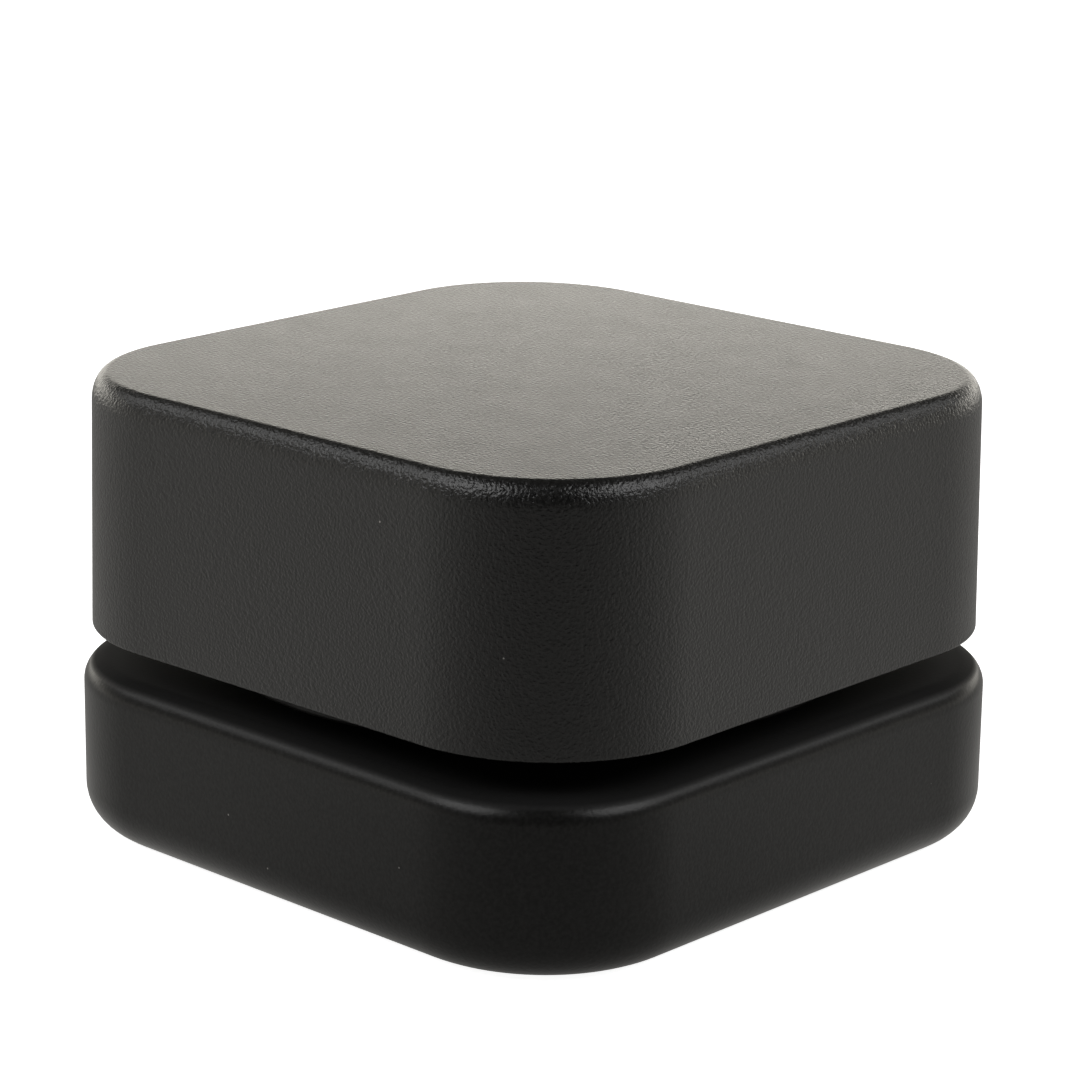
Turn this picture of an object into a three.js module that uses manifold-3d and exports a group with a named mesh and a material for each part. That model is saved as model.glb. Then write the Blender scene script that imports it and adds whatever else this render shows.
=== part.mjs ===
// A small square glass jar with a child-resistant screw cap, in millimetres, +Z up.
// The origin is the centre of the jar's base. The sides of the jar lie along X and Y.
// The cap is two pieces: a threaded round inner cap, and a square outer cap that is
// snapped over it, turns on it, and drives it only while it is pushed down.
import * as THREE from "three";
import { mergeVertices } from "three/addons/utils/BufferGeometryUtils.js";
import Module from "manifold-3d";

const wasm = await Module();
wasm.setup();

const TURN = 2 * Math.PI;
const RIGHT_ANGLE = Math.PI / 2;
const DEGREE = Math.PI / 180;
const CORNER_SIGNS = [[1, 1], [-1, 1], [-1, -1], [1, -1]];

// Fineness of the facets
const STEPS_PER_TURN = 48; // on every round surface
const CORNER_STEPS = 10; // along each rounded corner of the square
const FILLET_STEPS = 5; // across each edge round
const SPRING_STEPS = 8; // along each spring finger
const LUG_STEPS = 3; // across each drive lug

const OVERRUN = 1; // how far a cut runs past the face that it opens

// Jar body
const JAR_SIDE = 38.9;
const JAR_CORNER_R = 8.75;
const SHOULDER_Z = 9.4;
const BASE_FILLET = 2.5;
const SHOULDER_FILLET = 1.3;
const PUSH_UP_R = 13; // the shallow hollow under the base
const PUSH_UP_DEPTH = 0.5;
const PUSH_UP_SLOPE = 1.5;

// Jar neck and the hollow inside
const NECK_R = 14.4;
const NECK_TOP_Z = 18.55;
const NECK_FOOT_FILLET = 0.5;
const NECK_ROOT_IN = 1; // how far the neck is sunk into the body
const BORE_R = 12.7;
const RIM_ROUND = 0.5;
const FLOOR_Z = 2.8;
const FLOOR_FILLET = 2;

// Screw thread: one start, right-handed
const LEAD = 3.2; // rise in one turn
const THREAD_TURNS = 1.25;
const THREAD_TAPER = 30 * DEGREE; // run-out at each end
const THREAD_ROOT_IN = 0.4; // how far a ridge is sunk into its wall
const THREAD_HEIGHT = 1.05;
const THREAD_TIP_HEIGHT = 0.05; // what is left of a ridge at its very end
const JAR_THREAD = { z: 12.9, start: 4 * DEGREE, rootWidth: 1.5, crestWidth: 0.8 };
const THREAD_DROP = 1.135; // the cap's ridge bears on the jar's ridge from below
const CAP_THREAD = {
  z: JAR_THREAD.z - THREAD_DROP,
  start: -100 * DEGREE,
  rootWidth: 1.3,
  crestWidth: 0.7,
};

// Liner disc
const LINER_R = 15.4;
const FILM_THICKNESS = 0.25;
const FOAM_THICKNESS = 1.0;

// Inner cap
const INNER_SKIRT_R = 17.0;
const INNER_RIM_Z = 9.95;
const INNER_WALL_R = 15.7; // inside of the wall, at the thread's root
const FLANGE_R = 17.45;
const FLANGE_BOTTOM_Z = 12.7;
const FLANGE_TOP_Z = 13.7;
const INNER_BODY_R = 16.9;
const INNER_PLATE = 1.2;
const INNER_TOP_FILLET = 0.8;
const INNER_LUG_HEIGHT = 1.0;
const SPRING_R = 14.5; // middle of the four spring fingers
const SPRING_WIDTH = 1.4;
const SPRING_THICKNESS = 0.6;
const SPRING_RISE = 1.25;
const SPRING_SPAN = 56 * DEGREE;
const SPRING_COUNT = 4;

// Outer cap
const CAP_TOP_SIDE = 38.0;
const CAP_RIM_SIDE = 38.33; // the walls open slightly towards the rim
const CAP_CORNER_R = 9.0;
const CAP_RIM_Z = 11.26;
const CAP_TOP_Z = 24.8;
const CAP_EDGE_INSET = 0.9; // the top edge is a quarter ellipse, longer down the
const CAP_EDGE_DROP = 1.45; // wall than across the top
const CAP_RIM_ROUND = 0.15;
const CAP_WALL = 1.3;
const CAP_PLATE = 1.4;
const CAP_INNER_FILLET = 0.5;
const CAP_LUG_HEIGHT = 1.2;
const RING_R = 17.6; // the round skirt that turns on the inner cap's flange
const RING_WALL = 0.8;
const RING_RIM_Z = 11.7;
const BEAD_R = 17.2; // the snap bead below the flange
const BEAD_TOP_Z = 12.5;
const BEAD_SLOPE = 0.3;
const RING_ROOT_IN = 0.5; // how far the skirt and the ribs are sunk into the plate
const RIB_THICKNESS = 1.0;
const RIB_BOTTOM_Z = 13.0;
const CAP_TWIST = 0.65 * DEGREE; // the thread stops the cap a little out of line

// Drive lugs, on the inner cap's top and the outer cap's underside
const LUG_COUNT = 8;
const LUG_INNER_R = 8.4;
const LUG_OUTER_R = 12.6;
const INNER_LUG_WIDTH = 14 * DEGREE;
const CAP_LUG_WIDTH = 17 * DEGREE;
const LUG_ROOT_IN = 0.3; // how far a lug is sunk into its plate

// Heights that follow from the stack: rim, film, foam, inner cap, lugs
const FOAM_BOTTOM_Z = NECK_TOP_Z + FILM_THICKNESS;
const INNER_PLATE_Z = FOAM_BOTTOM_Z + FOAM_THICKNESS;
const INNER_TOP_Z = INNER_PLATE_Z + INNER_PLATE;
const CAP_UNDER_Z = CAP_TOP_Z - CAP_PLATE;

// --- points and outlines ---

function point(radius, z) {
  return new THREE.Vector2(radius, z);
}

// Points of a round edge, centred on (x, z), from one angle to another.
function arc(x, z, radius, fromAngle, toAngle) {
  const points = [];
  for (let i = 0; i <= FILLET_STEPS; i += 1) {
    const angle = fromAngle + ((toAngle - fromAngle) * i) / FILLET_STEPS;
    points.push(point(x + radius * Math.cos(angle), z + radius * Math.sin(angle)));
  }
  return points;
}

// One level ring of points around a square with rounded corners.
function squareRing(side, cornerRadius, z) {
  const centre = side / 2 - cornerRadius;
  const ring = [];
  for (let corner = 0; corner < 4; corner += 1) {
    const [signX, signY] = CORNER_SIGNS[corner];
    for (let i = 0; i <= CORNER_STEPS; i += 1) {
      const angle = RIGHT_ANGLE * (corner + i / CORNER_STEPS);
      const x = signX * centre + cornerRadius * Math.cos(angle);
      const y = signY * centre + cornerRadius * Math.sin(angle);
      ring.push(new THREE.Vector3(x, y, z));
    }
  }
  return ring;
}

// --- geometry ---

// The closed skin over a stack of level rings, lowest first, with flat ends.
function loft(rings) {
  const count = rings[0].length;
  const positions = [];
  const index = [];
  for (const ring of rings) {
    for (const p of ring) {
      positions.push(p.x, p.y, p.z);
    }
  }
  for (let level = 0; level < rings.length - 1; level += 1) {
    for (let i = 0; i < count; i += 1) {
      const here = level * count + i;
      const next = level * count + ((i + 1) % count);
      index.push(here, next, next + count, here, next + count, here + count);
    }
  }
  const top = (rings.length - 1) * count;
  for (let i = 1; i < count - 1; i += 1) {
    index.push(0, i + 1, i);
    index.push(top, top + i, top + i + 1);
  }
  const geometry = new THREE.BufferGeometry();
  geometry.setAttribute("position", new THREE.Float32BufferAttribute(positions, 3));
  geometry.setIndex(index);
  return geometry;
}

// A profile of (radius, z) points, lowest outside point first, turned about Z.
function turned(profile) {
  return new THREE.LatheGeometry(profile, STEPS_PER_TURN).rotateX(RIGHT_ANGLE);
}

// Bends a bar that runs along X round the Z axis. The x of a point is its angle, and
// profileAt gives the radius and the height of that point.
function wrapped(bar, profileAt) {
  const at = bar.getAttribute("position");
  for (let i = 0; i < at.count; i += 1) {
    const angle = at.getX(i);
    const [radius, z] = profileAt(angle, at.getY(i), at.getZ(i));
    at.setXYZ(i, radius * Math.cos(angle), radius * Math.sin(angle), z);
  }
  return bar;
}

// --- solids ---

// The vertices and triangles of a skin, with shared vertices merged and slivers left out.
function mergedSkin(geometry) {
  const bare = geometry.clone();
  bare.deleteAttribute("normal");
  bare.deleteAttribute("uv");
  const merged = mergeVertices(bare);
  const kept = [];
  const index = merged.getIndex().array;
  for (let i = 0; i < index.length; i += 3) {
    const [a, b, c] = [index[i], index[i + 1], index[i + 2]];
    if (a !== b && b !== c && c !== a) {
      kept.push(a, b, c);
    }
  }
  return { triVerts: new Uint32Array(kept), vertProperties: merged.getAttribute("position").array };
}

// A closed skin as a solid. Bending can leave a skin inside out, so it is turned over.
function solid(geometry) {
  const skin = mergedSkin(geometry);
  const made = new wasm.Manifold(new wasm.Mesh({ numProp: 3, ...skin }));
  if (made.volume() > 0) {
    return made;
  }
  skin.triVerts.reverse();
  return new wasm.Manifold(new wasm.Mesh({ numProp: 3, ...skin }));
}

function geometryOf(manifold) {
  const { vertProperties, triVerts } = manifold.getMesh();
  const geometry = new THREE.BufferGeometry();
  geometry.setAttribute("position", new THREE.BufferAttribute(vertProperties, 3));
  geometry.setIndex(new THREE.BufferAttribute(triVerts, 1));
  geometry.computeVertexNormals();
  return geometry;
}

function piece(name, manifold, material) {
  const mesh = new THREE.Mesh(geometryOf(manifold), new THREE.MeshStandardMaterial(material));
  mesh.name = name;
  return mesh;
}

// A screw ridge on a wall of radius rootR, which stands outwards (1) or inwards (-1).
// z is where the ridge's middle would be at angle 0, and it rises anticlockwise from
// its start.
function threadRidge(rootR, outwards, { z, start, rootWidth, crestWidth }) {
  const span = THREAD_TURNS * TURN;
  const outline = new THREE.Shape([
    new THREE.Vector2(-1, -0.5),
    new THREE.Vector2(1, -0.5),
    new THREE.Vector2(1, 0.5),
    new THREE.Vector2(-1, 0.5),
  ]);
  const bar = new THREE.ExtrudeGeometry(outline, {
    depth: span,
    steps: Math.round(THREAD_TURNS * STEPS_PER_TURN),
    bevelEnabled: false,
  });
  bar.rotateY(RIGHT_ANGLE).rotateX(-RIGHT_ANGLE).translate(start, 0, 0);
  return solid(
    wrapped(bar, (angle, across, along) => {
      const fromEnd = Math.min(angle - start, start + span - angle);
      const full = Math.min(1, Math.max(0, fromEnd / THREAD_TAPER));
      const middle = z + (LEAD * angle) / TURN;
      if (across < 0) {
        return [rootR - outwards * THREAD_ROOT_IN, middle + along * rootWidth];
      }
      const crest = outwards * Math.max(full * THREAD_HEIGHT, THREAD_TIP_HEIGHT);
      return [rootR + crest, middle + along * crestWidth];
    }),
  );
}

// A ring of equal blocks, each spanning part of a turn.
function lugRing(bottomZ, topZ, width, phase) {
  const height = topZ - bottomZ;
  const ring = [];
  for (let i = 0; i < LUG_COUNT; i += 1) {
    const middle = phase + (i * TURN) / LUG_COUNT;
    const bar = new THREE.BoxGeometry(width, LUG_OUTER_R - LUG_INNER_R, height, LUG_STEPS);
    bar.translate(middle, (LUG_INNER_R + LUG_OUTER_R) / 2, bottomZ + height / 2);
    ring.push(solid(wrapped(bar, (angle, radius, z) => [radius, z])));
  }
  return wasm.Manifold.union(ring);
}

// --- the jar ---

function jarBody() {
  const rings = [];
  const level = (inset, z) => rings.push(squareRing(JAR_SIDE - 2 * inset, JAR_CORNER_R - inset, z));
  for (const p of arc(0, 0, BASE_FILLET, -RIGHT_ANGLE, 0)) {
    level(BASE_FILLET - p.x, BASE_FILLET + p.y);
  }
  for (const p of arc(0, 0, SHOULDER_FILLET, 0, RIGHT_ANGLE)) {
    level(SHOULDER_FILLET - p.x, SHOULDER_Z - SHOULDER_FILLET + p.y);
  }
  return solid(loft(rings));
}

function jarNeck() {
  const foot = SHOULDER_Z + NECK_FOOT_FILLET;
  return solid(
    turned([
      point(0, SHOULDER_Z - NECK_ROOT_IN),
      point(NECK_R + NECK_FOOT_FILLET, SHOULDER_Z - NECK_ROOT_IN),
      ...arc(NECK_R + NECK_FOOT_FILLET, foot, NECK_FOOT_FILLET, -RIGHT_ANGLE, -2 * RIGHT_ANGLE),
      ...arc(NECK_R - RIM_ROUND, NECK_TOP_Z - RIM_ROUND, RIM_ROUND, 0, RIGHT_ANGLE),
      point(0, NECK_TOP_Z),
    ]),
  );
}

function jarHollow() {
  const flare = NECK_TOP_Z - RIM_ROUND;
  return solid(
    turned([
      point(0, FLOOR_Z),
      ...arc(BORE_R - FLOOR_FILLET, FLOOR_Z + FLOOR_FILLET, FLOOR_FILLET, -RIGHT_ANGLE, 0),
      ...arc(BORE_R + RIM_ROUND, flare, RIM_ROUND, 2 * RIGHT_ANGLE, RIGHT_ANGLE),
      point(BORE_R + RIM_ROUND, NECK_TOP_Z + OVERRUN),
      point(0, NECK_TOP_Z + OVERRUN),
    ]),
  );
}

function jarPushUp() {
  return solid(
    turned([
      point(0, -OVERRUN),
      point(PUSH_UP_R, -OVERRUN),
      point(PUSH_UP_R, 0),
      point(PUSH_UP_R - PUSH_UP_SLOPE, PUSH_UP_DEPTH),
      point(0, PUSH_UP_DEPTH),
    ]),
  );
}

function glassJar() {
  const thread = threadRidge(NECK_R, 1, JAR_THREAD);
  return jarBody().add(jarNeck()).add(thread).subtract(jarHollow()).subtract(jarPushUp());
}

// --- the liner, one disc of foam faced with a film ---

function disc(bottomZ, thickness) {
  const cylinder = new THREE.CylinderGeometry(LINER_R, LINER_R, thickness, STEPS_PER_TURN);
  return solid(cylinder.rotateX(RIGHT_ANGLE).translate(0, 0, bottomZ + thickness / 2));
}

// --- the inner cap ---

function innerShell() {
  const fillet = arc(
    INNER_BODY_R - INNER_TOP_FILLET,
    INNER_TOP_Z - INNER_TOP_FILLET,
    INNER_TOP_FILLET,
    0,
    RIGHT_ANGLE,
  );
  const outside = [
    point(0, INNER_RIM_Z),
    point(INNER_SKIRT_R, INNER_RIM_Z),
    point(INNER_SKIRT_R, FLANGE_BOTTOM_Z),
    point(FLANGE_R, FLANGE_BOTTOM_Z),
    point(FLANGE_R, FLANGE_TOP_Z),
    point(INNER_BODY_R, FLANGE_TOP_Z),
    ...fillet,
    point(0, INNER_TOP_Z),
  ];
  const inside = [
    point(0, INNER_RIM_Z - OVERRUN),
    point(INNER_WALL_R, INNER_RIM_Z - OVERRUN),
    point(INNER_WALL_R, INNER_PLATE_Z),
    point(0, INNER_PLATE_Z),
  ];
  return solid(turned(outside)).subtract(solid(turned(inside)));
}

// A springy arm that rises from the plate, with its free end near the outer cap.
function springFinger(startAngle) {
  const bar = new THREE.BoxGeometry(SPRING_SPAN, SPRING_WIDTH, SPRING_THICKNESS, SPRING_STEPS);
  bar.translate(startAngle + SPRING_SPAN / 2, SPRING_R, INNER_TOP_Z - SPRING_THICKNESS / 2);
  return solid(
    wrapped(bar, (angle, radius, z) => {
      const along = (angle - startAngle) / SPRING_SPAN;
      return [radius, z + SPRING_RISE * along];
    }),
  );
}

function innerCap() {
  const thread = threadRidge(INNER_WALL_R, -1, CAP_THREAD);
  const lugs = lugRing(INNER_TOP_Z - LUG_ROOT_IN, INNER_TOP_Z + INNER_LUG_HEIGHT, INNER_LUG_WIDTH, 0);
  let cap = innerShell().add(thread).add(lugs);
  for (let i = 0; i < SPRING_COUNT; i += 1) {
    cap = cap.add(springFinger((i * TURN) / SPRING_COUNT));
  }
  return cap;
}

// --- the outer cap ---

function outerForm() {
  const rise = CAP_TOP_Z - CAP_RIM_Z;
  const rings = [];
  const level = (inset, z) => {
    const side = CAP_RIM_SIDE - ((CAP_RIM_SIDE - CAP_TOP_SIDE) * (z - CAP_RIM_Z)) / rise;
    rings.push(squareRing(side - 2 * inset, CAP_CORNER_R - inset, z));
  };
  level(CAP_RIM_ROUND, CAP_RIM_Z);
  level(0, CAP_RIM_Z + CAP_RIM_ROUND);
  for (const p of arc(0, 0, 1, 0, RIGHT_ANGLE)) {
    level(CAP_EDGE_INSET * (1 - p.x), CAP_TOP_Z - CAP_EDGE_DROP * (1 - p.y));
  }
  return solid(loft(rings));
}

function outerPocket() {
  const innerSide = CAP_TOP_SIDE - 2 * CAP_WALL;
  const mouthSide = CAP_RIM_SIDE - 2 * CAP_WALL;
  const cornerR = CAP_CORNER_R - CAP_WALL;
  return solid(
    loft([
      squareRing(mouthSide, cornerR, CAP_RIM_Z - OVERRUN),
      squareRing(mouthSide, cornerR, CAP_RIM_Z),
      squareRing(innerSide, cornerR, CAP_UNDER_Z - CAP_INNER_FILLET),
      squareRing(innerSide - 2 * CAP_INNER_FILLET, cornerR - CAP_INNER_FILLET, CAP_UNDER_Z),
    ]),
  );
}

// The round skirt inside the square, with the snap bead at its lower edge.
function snapRing() {
  return solid(
    turned([
      point(RING_R + RING_WALL, RING_RIM_Z),
      point(RING_R + RING_WALL, CAP_UNDER_Z + RING_ROOT_IN),
      point(RING_R, CAP_UNDER_Z + RING_ROOT_IN),
      point(RING_R, BEAD_TOP_Z),
      point(BEAD_R, BEAD_TOP_Z),
      point(BEAD_R, RING_RIM_Z + BEAD_SLOPE),
      point(BEAD_R + BEAD_SLOPE, RING_RIM_Z),
      point(RING_R + RING_WALL, RING_RIM_Z),
    ]),
  );
}

// Four upright ribs that tie the round skirt to the square's corners.
function cornerRibs() {
  const cornerReach = (CAP_TOP_SIDE / 2 - CAP_CORNER_R) * Math.SQRT2 + CAP_CORNER_R;
  const from = RING_R + RING_WALL / 2;
  const to = cornerReach - CAP_WALL / 2;
  const height = CAP_UNDER_Z + RING_ROOT_IN - RIB_BOTTOM_Z;
  const ribs = [];
  for (let corner = 0; corner < 4; corner += 1) {
    const rib = new THREE.BoxGeometry(to - from, RIB_THICKNESS, height);
    rib.translate((from + to) / 2, 0, RIB_BOTTOM_Z + height / 2);
    rib.rotateZ(RIGHT_ANGLE * (corner + 0.5));
    ribs.push(solid(rib));
  }
  return wasm.Manifold.union(ribs);
}

function outerCap() {
  const halfPitch = TURN / LUG_COUNT / 2;
  const lugs = lugRing(CAP_UNDER_Z - CAP_LUG_HEIGHT, CAP_UNDER_Z + LUG_ROOT_IN, CAP_LUG_WIDTH, halfPitch);
  return outerForm().subtract(outerPocket()).add(snapRing()).add(cornerRibs()).add(lugs);
}

// --- the assembly ---

const MATTE_BLACK_GLASS = { color: 0x1c1c1c, roughness: 0.5, metalness: 0 };
const MATTE_BLACK_PLASTIC = { color: 0x1f1e1d, roughness: 0.55, metalness: 0 };
const WHITE_FOAM = { color: 0xe9e8e2, roughness: 0.9, metalness: 0 };
const WHITE_FILM = { color: 0xf2f2ee, roughness: 0.35, metalness: 0 };

const closure = new THREE.Group();
closure.rotation.z = CAP_TWIST;
closure.add(piece("liner_film", disc(NECK_TOP_Z, FILM_THICKNESS), WHITE_FILM));
closure.add(piece("liner_foam", disc(FOAM_BOTTOM_Z, FOAM_THICKNESS), WHITE_FOAM));
closure.add(piece("inner_cap", innerCap(), MATTE_BLACK_PLASTIC));
closure.add(piece("outer_cap", outerCap(), MATTE_BLACK_PLASTIC));

const jar = new THREE.Group();
jar.add(piece("glass_jar", glassJar(), MATTE_BLACK_GLASS));
jar.add(closure);

export default jar;
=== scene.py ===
"""Looks for a small square glass jar with a matte black child-resistant screw cap.

Lengths are in millimetres where no comment says metres, and are turned into metres as
meshes are made. The jar stands on z = 0 with its sides along X and Y. The overall heights
and widths come from the frame. The rounds, walls and threads repeat the values that the
frame was made with.
"""

import math

import bpy
import numpy as np
from mathutils import Matrix, Vector


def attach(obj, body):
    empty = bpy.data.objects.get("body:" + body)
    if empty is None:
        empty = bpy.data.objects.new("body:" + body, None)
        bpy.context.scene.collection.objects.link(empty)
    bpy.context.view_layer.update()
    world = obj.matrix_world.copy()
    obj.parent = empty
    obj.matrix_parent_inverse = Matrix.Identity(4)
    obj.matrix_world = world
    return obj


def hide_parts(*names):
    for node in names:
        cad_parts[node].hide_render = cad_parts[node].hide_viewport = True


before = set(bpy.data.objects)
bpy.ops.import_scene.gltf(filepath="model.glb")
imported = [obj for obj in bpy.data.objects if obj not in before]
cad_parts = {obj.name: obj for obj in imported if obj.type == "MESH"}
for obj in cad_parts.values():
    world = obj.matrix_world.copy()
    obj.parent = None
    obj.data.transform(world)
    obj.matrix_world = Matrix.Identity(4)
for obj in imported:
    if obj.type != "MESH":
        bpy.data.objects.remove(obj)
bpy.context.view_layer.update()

MM = 0.001
TURN = 2 * math.pi
QUARTER = TURN / 4

# --- sizes from the frame, in millimetres ---

CAP_TWIST = math.radians(0.65)


def low_high(node, twist=0.0):
    """The lowest and highest corners of a CAD node, seen in axes turned about Z."""
    turn = Matrix.Rotation(-twist, 3, "Z")
    points = np.array([turn @ v.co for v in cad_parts[node].data.vertices]) / MM
    return points.min(0), points.max(0)


_, jar_high = low_high("glass_jar")
cap_low, cap_high = low_high("outer_cap", CAP_TWIST)
inner_low, inner_high = low_high("inner_cap", CAP_TWIST)
film_low, film_high = low_high("liner_film")
foam_low, foam_high = low_high("liner_foam")

JAR_SIDE = 2 * jar_high[0]
JAR_CORNER_R = 8.75
BASE_FILLET = 2.5
SHOULDER_Z = 9.4
SHOULDER_FILLET = 1.3
PUSH_UP_R = 13.0
PUSH_UP_SLOPE = 1.5
PUSH_UP_DEPTH = 0.5
NECK_TOP_Z = jar_high[2]
NECK_R = 14.4
NECK_FOOT_FILLET = 0.5
RIM_ROUND = 0.5
BORE_R = 12.7
FLOOR_Z = 2.8
FLOOR_FILLET = 2.0

LEAD = 3.2
THREAD_TURNS = 1.25
THREAD_TAPER = math.radians(30)
THREAD_HEIGHT = 1.0
JAR_THREAD = {"z": 12.9, "start": math.radians(4), "root": 1.5, "crest": 0.6}
CAP_THREAD = {"z": 11.765, "start": math.radians(-100), "root": 1.3, "crest": 0.5}

CAP_RIM_Z = cap_low[2]
CAP_TOP_Z = cap_high[2]
CAP_RIM_SIDE = 2 * cap_high[0]
CAP_DRAFT = 0.33
CAP_CORNER_R = 9.0
CAP_EDGE_INSET = 0.9
CAP_EDGE_DROP = 1.45
CAP_RIM_ROUND = 0.15
CAP_WALL = 1.3
CAP_UNDER_Z = CAP_TOP_Z - 1.4
CAP_INNER_FILLET = 0.5
RING_R = 17.6
RING_WALL = 0.8
RING_RIM_Z = 11.7
RING_EDGE = 0.1
BEAD_R = 17.2
BEAD_TOP_Z = 12.5
BEAD_ROUND = 0.12
BEAD_FOOT_Z = RING_RIM_Z + 0.35
BEAD_LEAD_IN = 0.3
RIB_THICKNESS = 1.0
RIB_BOTTOM_Z = 13.0
RIB_BITE = 0.25  # the share of the cap's wall that a rib runs into
PLATE_BITE = 0.4  # how far the ring and the ribs run up into the plate
LUG_BITE = 0.3  # how far a lug runs into its plate
CAP_LUG_HEIGHT = 1.2

INNER_RIM_Z = inner_low[2]
INNER_SKIRT_R = 17.0
INNER_WALL_R = 15.7
INNER_BODY_R = 16.9
FLANGE_R = inner_high[0]
FLANGE_BOTTOM_Z = 12.7
FLANGE_TOP_Z = 13.7
INNER_PLATE_Z = foam_high[2]
INNER_TOP_Z = INNER_PLATE_Z + 1.2
INNER_TOP_FILLET = 0.8
INNER_EDGE_ROUND = 0.2
FLANGE_LOWER_ROUND = 0.1
FLANGE_UPPER_ROUND = 0.25
INNER_LUG_HEIGHT = 1.0

LUG_COUNT = 8
LUG_INNER_R = 8.4
LUG_OUTER_R = 12.6
INNER_LUG_WIDTH = math.radians(14)
CAP_LUG_WIDTH = math.radians(17)
SPRING_COUNT = 4
SPRING_R = 14.5
SPRING_WIDTH = 1.4
SPRING_THICKNESS = 0.6
SPRING_RISE = 1.25
SPRING_SPAN = math.radians(56)

# --- rings of points ---

CORNERS = ((1, 1), (-1, 1), (-1, -1), (1, -1))
CORNER_STEPS = 24
SIDE_STEPS = 32
ROUND_COLUMNS = 192
COLUMN_TURN = math.radians(0.4375)  # keeps the columns off the edges of lugs and fingers
HOLD = 0.05  # how far from a round edge a flat face has its first ring, which keeps it flat


def square_ring(side, corner_r, z):
    """A level ring round a square with rounded corners, from the middle of its +X side."""
    centre = side / 2 - corner_r
    points = []
    for corner, (sx, sy) in enumerate(CORNERS):
        for step in range(CORNER_STEPS):
            angle = QUARTER * (corner + step / CORNER_STEPS)
            x = sx * centre + corner_r * math.cos(angle)
            y = sy * centre + corner_r * math.sin(angle)
            points.append((x, y, z))
        angle = QUARTER * (corner + 1)
        nx, ny = CORNERS[(corner + 1) % len(CORNERS)]
        start = Vector((sx * centre, sy * centre, z))
        end = Vector((nx * centre, ny * centre, z))
        out = Vector((math.cos(angle), math.sin(angle), 0)) * corner_r
        for step in range(SIDE_STEPS):
            points.append(tuple(start.lerp(end, step / SIDE_STEPS) + out))
    return np.array(points)


# Round rings on the jar use the directions of the square's points, so that the
# columns of the mesh run straight from the body up the neck.
jar_outline = square_ring(JAR_SIDE, JAR_CORNER_R, 0)
JAR_ANGLES = np.unwrap(np.arctan2(jar_outline[:, 1], jar_outline[:, 0]))
EVEN_ANGLES = np.linspace(0, TURN, ROUND_COLUMNS, endpoint=False) + COLUMN_TURN


def round_ring(radius, z, angles):
    """A level round ring. radius may be one number or one for each angle."""
    x, y = radius * np.cos(angles), radius * np.sin(angles)
    return np.column_stack((x, y, np.full(angles.shape, z)))


def arc(x, z, radius, start, end, steps):
    """(x, z) points on a round edge, from one angle in degrees to another."""
    return [
        (x + radius * math.cos(a), z + radius * math.sin(a))
        for a in np.radians(np.linspace(start, end, steps + 1))
    ]


def smooth(t):
    """0 to 1 with a level start and end."""
    t = np.clip(t, 0, 1)
    return t * t * (3 - 2 * t)


# --- meshes ---

# The angle between faces, in degrees, from which the edge between them is sharp.
SHARP = 40
SHARP_JAR = 50
SHARP_JOINED = 30
SHARP_LINER = 60


def shade(mesh, sharp_angle):
    """Smooth shading that breaks at edges sharper than that angle."""
    mesh.polygons.foreach_set("use_smooth", [True] * len(mesh.polygons))
    mesh.set_sharp_from_angle(angle=math.radians(sharp_angle))


def new_object(name, points, faces, sharp_angle=SHARP):
    """An object from points in millimetres."""
    mesh = bpy.data.meshes.new(name)
    mesh.from_pydata([tuple(p) for p in np.asarray(points) * MM], [], faces)
    mesh.validate()
    shade(mesh, sharp_angle)
    mesh.update()
    obj = bpy.data.objects.new(name, mesh)
    bpy.context.scene.collection.objects.link(obj)
    return obj


def skin(name, rings, first_pole=None, last_pole=None, sharp_angle=SHARP):
    """A closed skin over rings of equal length, listed so that its outside faces out.
    It ends in a point at each pole, or joins its last ring to its first if it has none."""
    count = len(rings[0])
    points = np.vstack(rings)
    faces = []
    pairs = [(i, i + 1) for i in range(len(rings) - 1)]
    if first_pole is None:
        pairs.append((len(rings) - 1, 0))
    for lower, upper in pairs:
        for i in range(count):
            j = (i + 1) % count
            a, b = lower * count, upper * count
            faces.append((a + i, a + j, b + j, b + i))
    if first_pole is not None:
        pole = len(points)
        top = (len(rings) - 1) * count
        points = np.vstack((points, [first_pole, last_pole]))
        for i in range(count):
            j = (i + 1) % count
            faces.append((pole, j, i))
            faces.append((pole + 1, top + i, top + j))
    return new_object(name, points, faces, sharp_angle)


def block(name, outline, steps=1):
    """A bar through the sections outline(t), four corners each, for t from 0 to 1.
    Its sides are triangles, since a four-sided face of a twisted bar would not be flat."""
    points = np.vstack([np.array(outline(i / steps)) for i in range(steps + 1)])
    faces = [(3, 2, 1, 0)]
    for i in range(steps):
        a, b = 4 * i, 4 * (i + 1)
        for k in range(4):
            m = (k + 1) % 4
            faces += [(a + k, a + m, b + m), (a + k, b + m, b + k)]
    end = 4 * steps
    faces.append((end, end + 1, end + 2, end + 3))
    return new_object(name, points, faces)


def joined(base, others):
    """base with the others fused into it."""
    for other in others:
        modifier = base.modifiers.new("join", "BOOLEAN")
        modifier.operation = "UNION"
        modifier.solver = "EXACT"
        modifier.object = other
    graph = bpy.context.evaluated_depsgraph_get()
    mesh = bpy.data.meshes.new_from_object(base.evaluated_get(graph))
    base.modifiers.clear()
    base.data = mesh
    shade(mesh, SHARP_JOINED)
    for other in others:
        bpy.data.objects.remove(other)
    return base


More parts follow.
